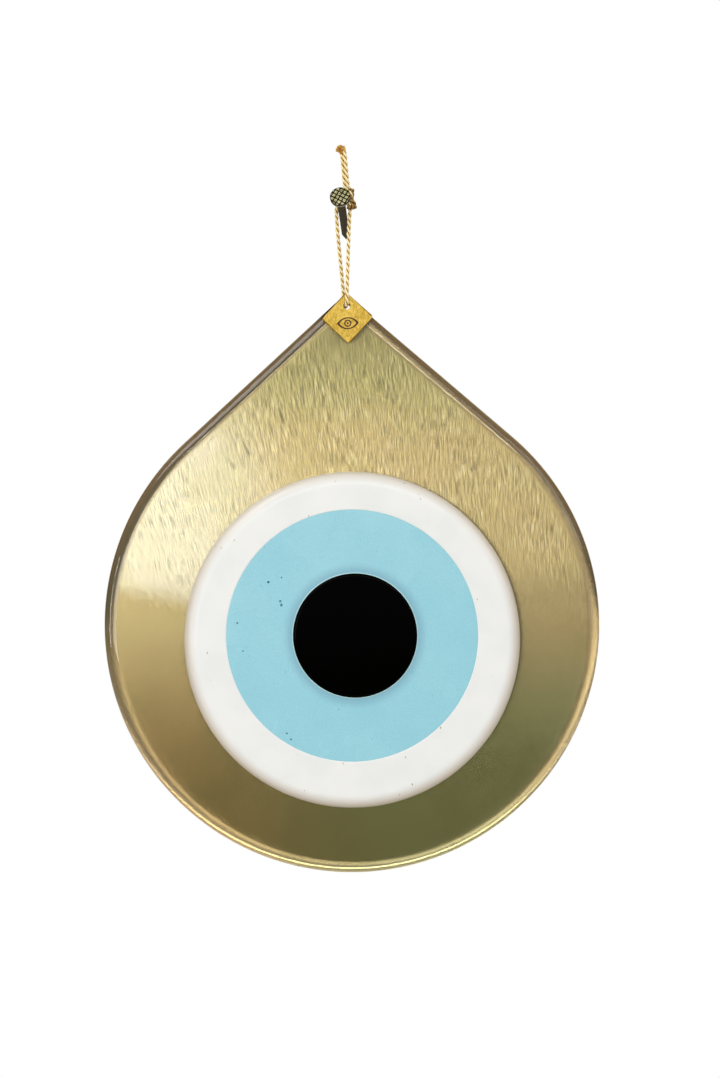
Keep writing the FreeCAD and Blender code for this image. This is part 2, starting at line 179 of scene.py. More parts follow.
def new_material(name, **numbers):
    """A material, its node tree and its shader, with the shader's constant numbers."""
    material = bpy.data.materials.new(name)
    material.use_nodes = True
    tree = material.node_tree
    shader = tree.nodes["Principled BSDF"]
    for socket, value in numbers.items():
        shader.inputs[socket.replace("_", " ")].default_value = value
    return material, tree, shader


def position(tree):
    """The place on the object, in metres."""
    return add_node(tree, "ShaderNodeTexCoord").outputs["Object"]


def math_node(tree, operation, first, second=0.0, clamp=False):
    """One sum."""
    node = add_node(tree, "ShaderNodeMath", {0: first, 1: second}, operation=operation)
    node.use_clamp = clamp
    return node.outputs[0]


def plus(tree, first, second):
    """Two numbers added."""
    return math_node(tree, "ADD", first, second)


def times(tree, first, second):
    """Two numbers multiplied."""
    return math_node(tree, "MULTIPLY", first, second)


def about_zero(tree, pattern, weight):
    """A noise moved to lie about zero, times a weight."""
    return times(tree, math_node(tree, "SUBTRACT", pattern, 0.5), weight)


def weighted(tree, first, share, second):
    """A share of the first number and the rest of the second."""
    return plus(tree, times(tree, first, share), times(tree, second, 1 - share))


def vector_node(tree, operation, first, second, output="Vector"):
    """One sum with places; that of a dot product comes out as its Value."""
    node = add_node(tree, "ShaderNodeVectorMath", {0: first, 1: second}, operation=operation)
    return node.outputs[output]


def spread(tree, value, low, high, to_low=0.0, to_high=1.0):
    """Map low..high to to_low..to_high, smoothly and within those."""
    inputs = {
        "Value": value,
        "From Min": low,
        "From Max": high,
        "To Min": to_low,
        "To Max": to_high,
    }
    return add_node(
        tree, "ShaderNodeMapRange", inputs, interpolation_type="SMOOTHSTEP"
    ).outputs[0]


def noise_at(tree, vector, detail):
    """Noise whose features are about one unit of the vector."""
    inputs = {"Vector": vector, "Scale": 1.0, "Detail": detail}
    return add_node(tree, "ShaderNodeTexNoise", inputs).outputs[0]


def noise(tree, size, detail=2.0, vector=None, stretch=(1, 1, 1)):
    """Noise whose features are about this size, in metres, times the stretch."""
    scale = [1 / (size * s) for s in stretch]
    place = vector_node(tree, "MULTIPLY", vector or position(tree), scale)
    return noise_at(tree, place, detail)


def blend_colours(tree, factor, first, second):
    """A mix of two colours."""
    node = add_node(tree, "ShaderNodeMix", data_type="RGBA")
    link_or_set(tree, node.inputs["Factor"], factor)
    link_or_set(tree, node.inputs[6], first)
    link_or_set(tree, node.inputs[7], second)
    return node.outputs[2]


def layered(tree, value, first, *steps):
    """A colour that turns into each step's colour while the value goes from its low to its high."""
    colour = first
    for low, high, tone in steps:
        colour = blend_colours(tree, spread(tree, value, low, high), colour, tone)
    return colour


# Where most of a noise lies, between 0 and 1.
NOISE_RANGE = (0.3, 0.7)


def by_noise(tree, pattern, low, high):
    """A number between low and high that follows a noise."""
    return spread(tree, pattern, *NOISE_RANGE, low, high)


def paint(tree, shader, colour, rough=None):
    """Give the shader its colour and, where it varies, its roughness."""
    tree.links.new(colour, shader.inputs["Base Color"])
    if rough is not None:
        tree.links.new(rough, shader.inputs["Roughness"])


def attribute(tree, name):
    """A number stored on the mesh."""
    return add_node(tree, "ShaderNodeAttribute", attribute_name=name).outputs["Fac"]


def bump(tree, shader, height, strength, distance):
    """Relief from a height."""
    node = add_node(
        tree,
        "ShaderNodeBump",
        {"Height": height, "Strength": strength, "Distance": distance},
    )
    tree.links.new(node.outputs[0], shader.inputs["Normal"])


def linear(red, green, blue):
    """A colour given as 0..255 on screen, as the shader's linear numbers."""

    def channel(number):
        share = number / 255
        if share <= 0.04045:
            return share / 12.92
        return ((share + 0.055) / 1.055) ** 2.4

    return (channel(red), channel(green), channel(blue), 1.0)


# ---------------- cord

# The routes, as part.py has them, joined into one run: left tail, knot, the loop, knot, right tail.
CORD_ROUTE = [
    (-0.2, -7.4, 25.8),
    (0.3, -7.35, 19.3),
    (0.65, -7.4, 12.6),
    (1.6, -7.4, 9.8),
    (3.0, -7.1, 7.2),
    (3.2, -8.0, 4.6),
    (2.45, -7.5, 2.2),
    (0.8, -11.6, -30.1),
    (0.75, -11.6, -34.8),
    (0.65, -10.5, -35.9),
    (-0.45, -2.3, -35.9),
    (-0.5, -1.2, -34.8),
    (-0.6, -1.2, -30.1),
    (-3.28, -7.5, 3.9),
    (-1.6, -7.5, 5.6),
    (0.3, -7.55, 5.7),
    (1.9, -7.7, 6.2),
    (3.3, -8.8, 7.4),
    (2.9, -8.6, 9.8),
    (1.9, -8.7, 12.6),
    (1.5, -8.7, 19.3),
    (1.05, -8.7, 25.8),
]
CORD_DIAMETER = 1.7 * MM
CORD_STEP = 0.25 * MM
PLIES = 2
TWIST_PITCH = 5.1 * MM
PLY_SHARE = 0.27
PLY_OFFSET = 0.23
PLY_SIDES = 20
YARNS = 5
YARN_DEPTH = 0.07
YARN_PITCH = 2.2 * MM
ROUTE_RESOLUTION = 24
ROUTE_ORDER = 3
# Any direction that the cord's first run doesn't have.
ACROSS_CORD = (0.31, 0.95, 0.07)

KNOT_CENTRE = Vector((3.0, -8.0, 6.9)) * MM
KNOT_TILT = math.radians(-8)
KNOT_WINDINGS = 3
KNOT_RISES = 2
KNOT_RADIUS = 1.2 * MM
KNOT_SWAY = 0.45 * MM
KNOT_HALF_HEIGHT = 3.7 * MM
KNOT_STRAND = 1.5 * MM
KNOT_POINTS = 400


def spline_points(route):
    """Points along the smooth NURBS line of a route."""
    data = bpy.data.curves.new("route", "CURVE")
    data.dimensions = "3D"
    data.resolution_u = ROUTE_RESOLUTION
    spline = data.splines.new("NURBS")
    spline.points.add(len(route) - 1)
    for point, place in zip(spline.points, route):
        point.co = (*(Vector(place) * MM), 1)
    spline.order_u = ROUTE_ORDER
    spline.use_endpoint_u = True
    obj = bpy.data.objects.new("route", data)
    bpy.context.collection.objects.link(obj)
    bpy.context.view_layer.update()
    mesh = bpy.data.meshes.new_from_object(obj)
    points = np.array([tuple(v.co) for v in mesh.vertices])
    bpy.data.objects.remove(obj)
    bpy.data.meshes.remove(mesh)
    return points


def even_steps(points, step):
    """The same line with points a step apart, and how far along each one is."""
    gaps = np.linalg.norm(np.diff(points, axis=0), axis=1)
    along = np.concatenate([[0], np.cumsum(gaps)])
    count = max(2, int(round(along[-1] / step)) + 1)
    stations = np.linspace(0, along[-1], count)
    line = np.stack([np.interp(stations, along, points[:, k]) for k in range(3)], 1)
    return line, stations


def frames_along(line):
    """Two directions across the line at each of its points, without twist."""
    tangents = np.gradient(line, axis=0)
    tangents /= np.linalg.norm(tangents, axis=1)[:, None]
    start = np.cross(tangents[0], ACROSS_CORD)
    normal = start / np.linalg.norm(start)
    normals = []
    for tangent in tangents:
        normal = normal - tangent * np.dot(normal, tangent)
        normal = normal / np.linalg.norm(normal)
        normals.append(normal)
    normals = np.array(normals)
    return normals, np.cross(tangents, normals)


def tube_rings(line, radii, sides, lobes=0, depth=0.0, lobe_pitch=1.0, along=None):
    """Rings of points around a line; lobes that wind round it stand for its yarns."""
    normals, binormals = frames_along(line)
    turns = np.linspace(0, 2 * math.pi, sides, endpoint=False)
    rings = []
    for i in range(len(line)):
        swell = 1.0
        if lobes:
            phase = 2 * math.pi * along[i] / lobe_pitch
            swell = 1 + depth * np.abs(np.cos(lobes * (turns + phase) / 2)) - depth
        reach = radii[i] * swell
        ring = (
            line[i]
            + (reach * np.cos(turns))[:, None] * normals[i]
            + (reach * np.sin(turns))[:, None] * binormals[i]
        )
        rings.append(ring)
    return rings


def join_tubes(name, tubes, sides):
    """One mesh of several closed tubes, each its rings, how far along each ring is, and how far
    out its points stand; with UVs round and along each."""
    vertices, faces, uvs, heights = [], [], [], []
    for rings, along, outward in tubes:
        first = len(vertices)
        for ring, distance, height in zip(rings, along, outward):
            vertices.extend(ring)
            uvs.extend((k / sides, distance / MM) for k in range(sides))
            heights.extend(height)
        faces.extend(closed_faces(len(rings), sides, first))
    obj = add_object(name, vertices, faces, uvs)
    crest = obj.data.attributes.new("crest", "FLOAT", "POINT")
    crest.data.foreach_set("value", heights)
    return obj


def twisted_cord(name, line, along, diameter, pitch):
    """The plies of a cord that wind round its line, left-handed."""
    normals, binormals = frames_along(line)
    tubes = []
    for ply in range(PLIES):
        phase = -2 * math.pi * along / pitch + 2 * math.pi * ply / PLIES
        offset = diameter * PLY_OFFSET
        middle = (
            line
            + offset * np.cos(phase)[:, None] * normals
            + offset * np.sin(phase)[:, None] * binormals
        )
        radii = np.full(len(line), diameter * PLY_SHARE)
        rings = tube_rings(
            middle, radii, PLY_SIDES, YARNS, YARN_DEPTH, YARN_PITCH, along
        )
        outward = [
            np.linalg.norm(ring - centre, axis=1) / (diameter / 2)
            for ring, centre in zip(rings, line)
        ]
        tubes.append((rings, along, outward))
    return join_tubes(name, tubes, PLY_SIDES)


def make_cord():
    """The whole cord as one run from tail to tail."""
    points = spline_points(CORD_ROUTE)
    line, along = even_steps(points, CORD_STEP)
    cord = twisted_cord("cord_twist", line, along, CORD_DIAMETER, TWIST_PITCH)
    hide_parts("cord_loop", "cord_tail_left", "cord_tail_right")
    return cord, line


def make_knot():
    """The knot that ties the two ends: a strand that winds over and under itself."""
    turns = np.linspace(0, 2 * math.pi, KNOT_POINTS)
    reach = KNOT_RADIUS + KNOT_SWAY * np.cos(KNOT_RISES * turns)
    height = KNOT_HALF_HEIGHT * np.sin(KNOT_RISES * turns)
    places = np.stack(
        [
            reach * np.sin(KNOT_WINDINGS * turns),
            reach * np.cos(KNOT_WINDINGS * turns),
            height,
        ],
        1,
    )
    lean = np.array(Matrix.Rotation(KNOT_TILT, 3, "Y"))
    places = places @ lean.T + np.array(KNOT_CENTRE)
    line, along = even_steps(places, CORD_STEP)
    whole_turns = round(along[-1] / TWIST_PITCH)
    knot = twisted_cord("cord_knot_wraps", line, along, KNOT_STRAND, along[-1] / whole_turns)
    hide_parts("cord_knot")
    return knot


FIBRE_SIDES = 5
FIBRE_STEPS = 9
FIBRE_RADIUS = 0.1 * MM
FIBRE_TONES = (0.5, 0.95)
FIBRE_TAPER = 0.7
FIBRE_REACHES = (0.82, 1.0)
# How far a fibre's fan may turn from its place in the bundle, in radians.
FIBRE_SWING = 0.6
# How much shorter the outermost fibres are, the bundle's radius in millimetres, and how late
# the fibres fan out.
OUTER_LOSS = 0.45
BUNDLE_RADIUS = 0.75
FAN_POWER = 1.6
# Of each frayed end: where it starts, its direction, its length, how far it fans out, and how
# many fibres it has.
TUFTS = [
    ((-0.15, -7.5, 25.0), (-0.26, 0.0, 1.0), 4.1, 2.2, 240),
    ((1.0, -8.6, 25.3), (-0.05, 0.05, 1.0), 3.4, 0.5, 80),
]


def make_tuft():
    """The frayed ends of the two tails."""
    chance = random.Random(SEED)
    tubes = []
    for start, direction, length, fan, count in TUFTS:
        axis = Vector(direction).normalized()
        side = axis.orthogonal().normalized()
        for _ in range(count):
            spin = chance.uniform(0, 2 * math.pi)
            share = math.sqrt(chance.random())
            across = Matrix.Rotation(spin, 3, axis) @ side
            turn = chance.uniform(-FIBRE_SWING, FIBRE_SWING)
            swing = Matrix.Rotation(turn, 3, axis) @ across
            reach = length * (1 - OUTER_LOSS * share * share) * chance.uniform(*FIBRE_REACHES)
            line = []
            for step in range(FIBRE_STEPS):
                t = step / (FIBRE_STEPS - 1)
                point = Vector(start) + axis * reach * t
                point += across * BUNDLE_RADIUS * share * (1 - t)
                point += swing * fan * share * t ** FAN_POWER
                line.append(tuple(point * MM))
            line = np.array(line)
            radii = FIBRE_RADIUS * np.linspace(1.0, FIBRE_TAPER, FIBRE_STEPS)
            along = np.linspace(0, length * MM, FIBRE_STEPS)
            tone = np.full((FIBRE_STEPS, FIBRE_SIDES), chance.uniform(*FIBRE_TONES))
            tubes.append((tube_rings(line, radii, FIBRE_SIDES), along, tone))
    tuft = join_tubes("cord_frayed_ends", tubes, FIBRE_SIDES)
    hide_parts("cord_tip")
    return tuft


# Of each yarn: the colour of its grooves, painted as shade, then how far out every lighter tone
# begins and ends; the lightest is a painted highlight on the crests. The loose fibres' tones go by
# each fibre's own tone instead.
YARN_SHADE_AND_HIGHLIGHT_TONES = (
    linear(92, 58, 6),
    (0.36, 0.60, linear(214, 156, 44)),
    (0.62, 0.84, linear(255, 243, 188)),
)
# The knot's own yarn is browner; its tones are also painted darker as the shadow of the nail's
# head.
KNOT_SHADOW_TONES = (
    linear(46, 30, 8),
    (0.45, 0.75, linear(134, 96, 34)),
    (0.82, 1.05, linear(206, 164, 88)),
)
TUFT_TONES = (
    linear(128, 78, 10),
    (0.4, 0.7, linear(212, 152, 44)),
    (0.7, 0.95, linear(255, 232, 150)),
)
WORN_YARN = linear(190, 136, 36)
WORN_PATCH = 2.5 * MM
# Fibres round a ply, and per millimetre along it.
YARN_FIBRES = (40.0, 1.3, 1.0)
YARN_RAGGED = 0.35
YARN_RELIEF = 0.08 * MM
KNOT_GRAIN = 0.35 * MM
KNOT_RAGGED = 1.1
KNOT_RELIEF = 0.12 * MM
TUFT_PATCH = 0.8 * MM
TUFT_RELIEF = 0.05 * MM


def cord_material():
    """Silky gold yarn: a painted cream highlight on the crests of its plies, painted deep brown
    shade in the grooves between them, with fine fibres along each ply."""
    material, tree, shader = new_material(
        "gold_yarn", Roughness=0.42, Specular_IOR_Level=0.5, Sheen_Weight=0.04, Sheen_Roughness=0.4
    )
    uv = add_node(tree, "ShaderNodeTexCoord").outputs["UV"]
    fibres = noise_at(tree, vector_node(tree, "MULTIPLY", uv, YARN_FIBRES), 2.0)
    crest = plus(tree, attribute(tree, "crest"), about_zero(tree, fibres, YARN_RAGGED))
    # Painted shade in the grooves and a painted highlight on the crests, by how far out each point
    # stands.
    lit = layered(tree, crest, *YARN_SHADE_AND_HIGHLIGHT_TONES)
    worn = spread(tree, noise(tree, WORN_PATCH), 0.5, 0.85, 0.0, 0.5)
    paint(tree, shader, blend_colours(tree, worn, lit, WORN_YARN))
    bump(tree, shader, fibres, 0.5, YARN_RELIEF)
    return material


def knot_shadow_material():
    """The same yarn where it is tied: browner, painted darker as the shadow of the nail's head,
    with painted shade in its grooves and fine gold grains.
    """
    material, tree, shader = new_material(
        "knotted_yarn_in_shadow", Roughness=0.5, Specular_IOR_Level=0.4, Sheen_Weight=0.04
    )
    grains = noise(tree, KNOT_GRAIN, 3.0)
    crest = plus(tree, attribute(tree, "crest"), about_zero(tree, grains, KNOT_RAGGED))
    paint(tree, shader, layered(tree, crest, *KNOT_SHADOW_TONES))
    bump(tree, shader, grains, 0.6, KNOT_RELIEF)
    return material


def tuft_material():
    """Loose golden fibres, each its own tone."""
    material, tree, shader = new_material(
        "loose_fibres", Roughness=0.45, Specular_IOR_Level=0.4, Sheen_Weight=0.05
    )
    shade = noise(tree, TUFT_PATCH, 2.0)
    tone = times(tree, attribute(tree, "crest"), plus(tree, shade, 0.5))
    paint(tree, shader, layered(tree, tone, *TUFT_TONES))
    bump(tree, shader, shade, 0.4, TUFT_RELIEF)
    return material


def dress(obj, material, body):
    """Give a new piece its material and its body."""
    obj.data.materials.clear()
    obj.data.materials.append(material)
    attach(obj, body)


cord, cord_line = make_cord()
knot = make_knot()
tuft = make_tuft()
dress(cord, cord_material(), "cord")
dress(knot, knot_shadow_material(), "cord")
dress(tuft, tuft_material(), "cord")

# ---------------- the glass plate and its layers

OUTLINE_ARC = 300
OUTLINE_FLANK = 60
OUTLINE_TIP = 24
TIP_RADIUS = 4.0 * MM
SMALLEST_TIP = 0.25 * MM
FRONT_ROUND = (4.4 * MM, 3.4 * MM)
BACK_ROUND = 1.0 * MM
ROUND_STEPS = 14
HOLE_DIAMETER = 4.2 * MM
HOLE_FROM_TIP = 4.6 * MM
# Rings of the plate's flat faces, for even shading: at the back inward from the outline, at the
# front inward from its round.
BACK_RINGS = (6.0 * MM, BACK_ROUND + 0.4 * MM)
FRONT_RINGS = (0.6 * MM, 2.0 * MM)

plate_low, plate_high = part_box("glass_plate")
PLATE_RADIUS = (plate_high.x - plate_low.x) / 2
PLATE_CENTRE_Z = plate_low.z + PLATE_RADIUS
PLATE_TIP_Z = plate_high.z
TIP_APART = PLATE_TIP_Z - TIP_RADIUS - PLATE_CENTRE_Z
FLANK_SLOPE = math.asin((PLATE_RADIUS - TIP_RADIUS) / TIP_APART)


def drop_ring(inset, y):
    """The plate's outline moved inward: wide arc, flank, tip arc and flank."""
    wide = PLATE_RADIUS - inset
    tip = max(TIP_RADIUS - inset, SMALLEST_TIP)
    tip_z = (wide - tip) / math.sin(FLANK_SLOPE)
    points = []

    def arc(radius, centre_z, start, end, count):
        for i in range(count):
            a = start + (end - start) * i / count
            x, z = radius * math.cos(a), centre_z + radius * math.sin(a)
            points.append(Vector((x, y, PLATE_CENTRE_Z + z)))

    def flank(start, end):
        for i in range(OUTLINE_FLANK):
            points.append(start.lerp(end, i / OUTLINE_FLANK))

    def on_arc(radius, centre_z, a):
        return Vector(
            (radius * math.cos(a), y, PLATE_CENTRE_Z + centre_z + radius * math.sin(a))
        )

    left, right = math.pi - FLANK_SLOPE, FLANK_SLOPE
    arc(wide, 0, left, 2 * math.pi + right, OUTLINE_ARC)
    flank(on_arc(wide, 0, right), on_arc(tip, tip_z, right))
    arc(tip, tip_z, right, left, OUTLINE_TIP)
    flank(on_arc(tip, tip_z, left), on_arc(wide, 0, left))
    return points


def drop_hole(name, diameter, front, back):
    """A round bar through the plate's hole, to cut with."""
    z = PLATE_TIP_Z - HOLE_FROM_TIP
    ends = (circle(0, z, diameter / 2, y, 48) for y in (back, front))
    return skin(name, list(ends))


def make_glass():
    """The clear plate: a melted round edge at the front and a small one at the back."""
    front, back = plate_low.y, plate_high.y
    rings = [drop_ring(inset, back) for inset in BACK_RINGS]
    for inward, upward in reversed(quarter(BACK_ROUND, BACK_ROUND, 5)):
        rings.append(drop_ring(inward, back - (BACK_ROUND - upward)))
    width, height = FRONT_ROUND
    for inward, upward in quarter(width, height, ROUND_STEPS):
        rings.append(drop_ring(inward, front + height - upward))
    rings.extend(drop_ring(width + further, front) for further in FRONT_RINGS)
    glass = skin("glass_drop", rings)
    cut(glass, drop_hole("hole_bar", HOLE_DIAMETER, front - MM, back + MM))
    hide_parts("glass_plate")
    return glass


# How far the gold reaches into the glass, so that no air shows between them.
LAYER_BOND = 0.05 * MM
LAYER_RINGS = (0.0, 0.4, 0.8, 1.4, 2.2, 3.2, 4.6, 6.5, 9.0, 13.0, 20.0)
LAYER_INSET = 1.2 * MM
LAYER_HOLE = 5.2 * MM


def make_layer(name, node, bond=0.0):
    """A thin layer behind the glass, with how far each point is from its edge."""
    low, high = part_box(node)
    insets = [LAYER_INSET + d * MM for d in LAYER_RINGS]
    back = [drop_ring(inset, high.y) for inset in insets]
    front = [drop_ring(inset, low.y - bond) for inset in insets]
    layer = skin(name, list(reversed(back)) + front)
    cut(layer, drop_hole("hole_bar", LAYER_HOLE, low.y - MM, high.y + MM))
    mesh = layer.data
    store(layer, "from_edge", lambda p: edge_distance(p) / MM)
    uv = mesh.uv_layers.active or mesh.uv_layers.new(name="UVMap")
    for loop in mesh.loops:
        place = mesh.vertices[loop.vertex_index].co
        uv.data[loop.index].uv = (place.x / PLATE_RADIUS, place.z / PLATE_RADIUS)
    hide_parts(node)
    return layer


def edge_distance(place):
    """How far a place is inside the plate's outline."""
    x, z = abs(place.x), place.z - PLATE_CENTRE_Z
    outward = x * math.cos(FLANK_SLOPE) + z * math.sin(FLANK_SLOPE)
    if z > 0 and math.atan2(z, x) > FLANK_SLOPE:
        return PLATE_RADIUS - outward
    return PLATE_RADIUS - math.hypot(x, z)


# Of the fired glass: the size of its waves and of its specks, and how high the waves stand.
GLASS_WAVE = 26 * MM
GLASS_SPECK = 1.6 * MM
GLASS_RELIEF = 0.4 * MM
GLASS_TINTS = ((0.985, 0.99, 0.975, 1), (1.0, 0.995, 0.98, 1))


def glass_material():
    """Clear fused glass with the faint waviness of a fired surface."""
    material, tree, shader = new_material(
        "clear_glass", Roughness=0.0, IOR=1.5, Transmission_Weight=1.0
    )
    waves = noise(tree, GLASS_WAVE, 1.0)
    specks = spread(tree, noise(tree, GLASS_SPECK, 3.0), 0.74, 0.8)
    height = plus(tree, waves, times(tree, specks, 0.02))
    paint(tree, shader, blend_colours(tree, waves, *GLASS_TINTS))
    bump(tree, shader, height, 0.25, GLASS_RELIEF)
    return material


# The gold's own tones with painted reflections of the room: 'top' and 'middle' carry painted
# reflection bands, 'glow' is a painted window reflection, 'brown' and 'olive' are dim painted
# reflections low down, 'edge' is painted shade along the rim, 'groove' is painted shade in the
# strokes and in a darker step, and 'glint' is a painted highlight.
GOLD_TONES_AND_REFLECTIONS = {
    "top": (0.52, 0.46, 0.185, 1),
    "middle": (0.57, 0.445, 0.20, 1),
    "glow": (0.74, 0.68, 0.48, 1),
    "brown": (0.88, 0.62, 0.27, 1),
    "olive": (0.63, 0.62, 0.30, 1),
    "edge": (0.36, 0.27, 0.135, 1),
    "groove": (0.03, 0.02, 0.005, 1),
    "glint": (1.0, 0.93, 0.62, 1),
}


# Where the gold's tones, its painted reflections and its strokes change, up or across the plate, in
# millimetres.
GOLD_BANDS = {
    "top": (-95, -62),
    "ground": (-165, -215),
    "leftward": (20, -70),
    "glow_across": (-14, -58),
    "glow_foot": (-173, -162),
    "glow_head": (-62, -112),
    "step": (-138, -154),
    "rim": (-250, -215),
    "slant": (-100, 60),
    "fade": (-170, -115),
}
# The same inward from the layer's edge: where the painted shade along the rim fades, and where the
# strokes come in.
RIM_SHADE = (3.3, 5.6)
CLEAR_RIM = (3.0, 7.0)
# The painted window reflection: its tilt, and the size and reach of its ragged side.
GLOW_TILT = 0.22
GLOW_CLOUD = (45 * MM, 22 * MM)
SMOKE = 30 * MM
# Of the brush strokes: their width, their detail, and how many times longer than wide they are.
STROKES = {
    "fine": (0.42 * MM, 1.0, 14),
    "broad": (0.9 * MM, 1.0, 12),
    "short": (0.5 * MM, 0.0, 9),
}
FINE_SHARE = 0.8
STROKE_SLANT = 0.30
STROKE_WANDER = (40 * MM, 3 * MM)
STROKE_PATCH = 22 * MM
STROKE_RELIEF = 0.06 * MM
GOLD_GRAIN = 0.35 * MM


def band(tree, value, name, to_low=0.0, to_high=1.0):
    """Map one of the gold's bands to to_low..to_high."""
    low, high = GOLD_BANDS[name]
    return spread(tree, value, low * MM, high * MM, to_low, to_high)


def gold_with_painted_reflections(tree, x, z, from_edge):
    """The gold's colour with painted reflections of the room: greenish at the top, a pale painted
    window reflection at the left, darker painted reflections, brown at the lower left and olive at
    the bottom, and painted shade in dark brown along its edge."""
    tones = GOLD_TONES_AND_REFLECTIONS
    body = blend_colours(tree, band(tree, z, "top"), tones["middle"], tones["top"])
    ground = blend_colours(tree, band(tree, x, "leftward"), tones["olive"], tones["brown"])
    body = blend_colours(tree, band(tree, z, "ground"), body, ground)
    cloud_size, cloud_reach = GLOW_CLOUD
    across = plus(tree, x, about_zero(tree, noise(tree, cloud_size, 1.0), cloud_reach))
    up = plus(tree, z, times(tree, x, GLOW_TILT))
    glow = times(tree, band(tree, across, "glow_across"), band(tree, up, "glow_foot"))
    glow = times(tree, glow, band(tree, up, "glow_head"))
    body = blend_colours(tree, glow, body, tones["glow"])
    smoke = spread(tree, noise(tree, SMOKE, 2.0), 0.40, 0.66, 0.0, 0.3)
    body = blend_colours(tree, smoke, body, tones["top"])
    # A painted reflection: a slightly darker step lower down.
    body = blend_colours(tree, band(tree, z, "step", 0.0, 0.18), body, tones["groove"])
    # Painted shade along the rim, weaker at the bottom.
    rim = spread(tree, from_edge, *RIM_SHADE, 0.9, 0.0)
    rim = times(tree, rim, band(tree, z, "rim", 0.45, 1.0))
    return blend_colours(tree, rim, body, tones["edge"])


def stroke_patterns(tree, x, z):
    """The noises of the strokes, which run upright and lean outward at the left."""
    slant = band(tree, x, "slant", STROKE_SLANT, 0.0)
    wander_size, wander_reach = STROKE_WANDER
    wander = about_zero(tree, noise(tree, wander_size), wander_reach)
    leaning = plus(tree, plus(tree, x, times(tree, slant, z)), wander)
    place = add_node(tree, "ShaderNodeCombineXYZ", {0: leaning, 1: 0.0, 2: z}).outputs[0]
    return {
        name: noise(tree, width, detail, place, (1, 1, length))
        for name, (width, detail, length) in STROKES.items()
    }


def gold_material():
    """Brushed gold: near-upright strokes that fan out to the left, in patches, on a metal; its
    colour carries painted reflections, and its strokes are painted darker as shade and lighter as
    highlights.
    """
    material, tree, shader = new_material("brushed_gold", Metallic=1.0, Anisotropic=1.0)
    axes = add_node(tree, "ShaderNodeSeparateXYZ", {0: position(tree)})
    x, z = axes.outputs[0], axes.outputs[2]
    from_edge = attribute(tree, "from_edge")
    patterns = stroke_patterns(tree, x, z)
    where = spread(tree, noise(tree, STROKE_PATCH, 3.0), 0.35, 0.62, 0.45, 1.0)
    # The strokes fade towards the bottom, where the painted reflection is dim, and near the rim.
    amount = times(tree, where, band(tree, z, "fade", 0.12, 1.0))
    amount = times(tree, amount, spread(tree, from_edge, *CLEAR_RIM))
    strokes = weighted(tree, patterns["fine"], FINE_SHARE, patterns["broad"])
    lift = about_zero(tree, strokes, amount)
    glints = times(tree, spread(tree, patterns["short"], 0.62, 0.76), amount)
    body = gold_with_painted_reflections(tree, x, z, from_edge)
    # Darker strokes are painted shade; lighter strokes and short glints are painted highlights.
    dark = spread(tree, lift, 0.02, -0.11, 0.0, 0.34)
    shaded = blend_colours(tree, dark, body, GOLD_TONES_AND_REFLECTIONS["groove"])
    light = spread(tree, lift, -0.02, 0.13, 0.0, 0.3)
    light = math_node(tree, "ADD", light, times(tree, glints, 0.16), clamp=True)
    colour = blend_colours(tree, light, shaded, GOLD_TONES_AND_REFLECTIONS["glint"])
    paint(tree, shader, colour, plus(tree, times(tree, strokes, 0.06), 0.17))
    tangent = add_node(tree, "ShaderNodeTangent", direction_type="UV_MAP", uv_map="UVMap")
    tree.links.new(tangent.outputs[0], shader.inputs["Tangent"])
    grain = noise(tree, GOLD_GRAIN, 2.0)
    relief = plus(tree, lift, times(tree, grain, 0.06))
    bump(tree, shader, relief, 0.08, STROKE_RELIEF)
    return material


FILM_PEBBLE = 0.9 * MM
FILM_SCUFF = 7 * MM
FILM_RELIEF = 0.1 * MM
FILM_TONES = (linear(44, 42, 38), (0.5, 0.72, linear(82, 78, 70)))


def film_material():
    """Dark backing film, slightly pebbled and scuffed."""
    material, tree, shader = new_material("backing_film", Specular_IOR_Level=0.35)
    pebbles = noise(tree, FILM_PEBBLE, 3.0)
    scuffs = noise(tree, FILM_SCUFF, 4.0, stretch=(1, 1, 3))
    rough = by_noise(tree, pebbles, 0.5, 0.75)
    paint(tree, shader, layered(tree, scuffs, *FILM_TONES), rough)
    bump(tree, shader, pebbles, 0.4, FILM_RELIEF)
    return material


glass = make_glass()
dress(glass, glass_material(), "plate")
gold = make_layer("gold_brushed_layer", "gold_layer", LAYER_BOND)
dress(gold, gold_material(), "plate")
film = make_layer("film_backing", "backing_film")
dress(film, film_material(), "plate")

# ---------------- the discs

WHITE_ROUND = (5.2 * MM, 4.0 * MM)
WHITE_BACK_ROUND = 0.5 * MM
# Rings of the white disc's flat face, inward from its round, and round the blue disc's seat: how
# far out from it and how far down, in millimetres.
WHITE_RINGS = (0.8 * MM, 3.0 * MM)
SEAT_RINGS = ((1.2, 0.0), (0.5, 0.0), (0.06, 0.005), (0.0, 0.05))
BLUE_DEPTH = 2.6 * MM
BLUE_EDGE = 0.01 * MM
BLUE_ROUND = (0.08 * MM, 0.05 * MM)
# Rings of the blue disc's face: inward from its edge and outward from the pupil, in millimetres.
BLUE_OUTER_RINGS = (1.0, 4.0, 9.0)
BLUE_INNER_RINGS = (9.0, 6.5, 4.5, 3.0, 2.0, 1.2, 0.6, 0.1)
SEAT_GAP = 0.05 * MM
SEAT_BEVEL = 0.1 * MM
# A face turned further than this towards the front is flat, so that the pits don't shade it.
FLAT_FACE = 0.999
PUPIL_DEPTH = 1.4 * MM
PUPIL_ROUND = (1.1 * MM, 0.75 * MM)
PUPIL_CROWN = 0.12 * MM
PUPIL_RINGS = (0.9, 0.75, 0.6, 0.45, 0.3, 0.15, 0.05)
# A ring at this share of the radius keeps the end of a disc or of a seat small.
END_SHARE = 0.5
LIP_WIDTH = 0.42 * MM
LIP_HEIGHT = 0.2 * MM
LIP_SUNK = 0.05 * MM
LIP_STEPS = 8


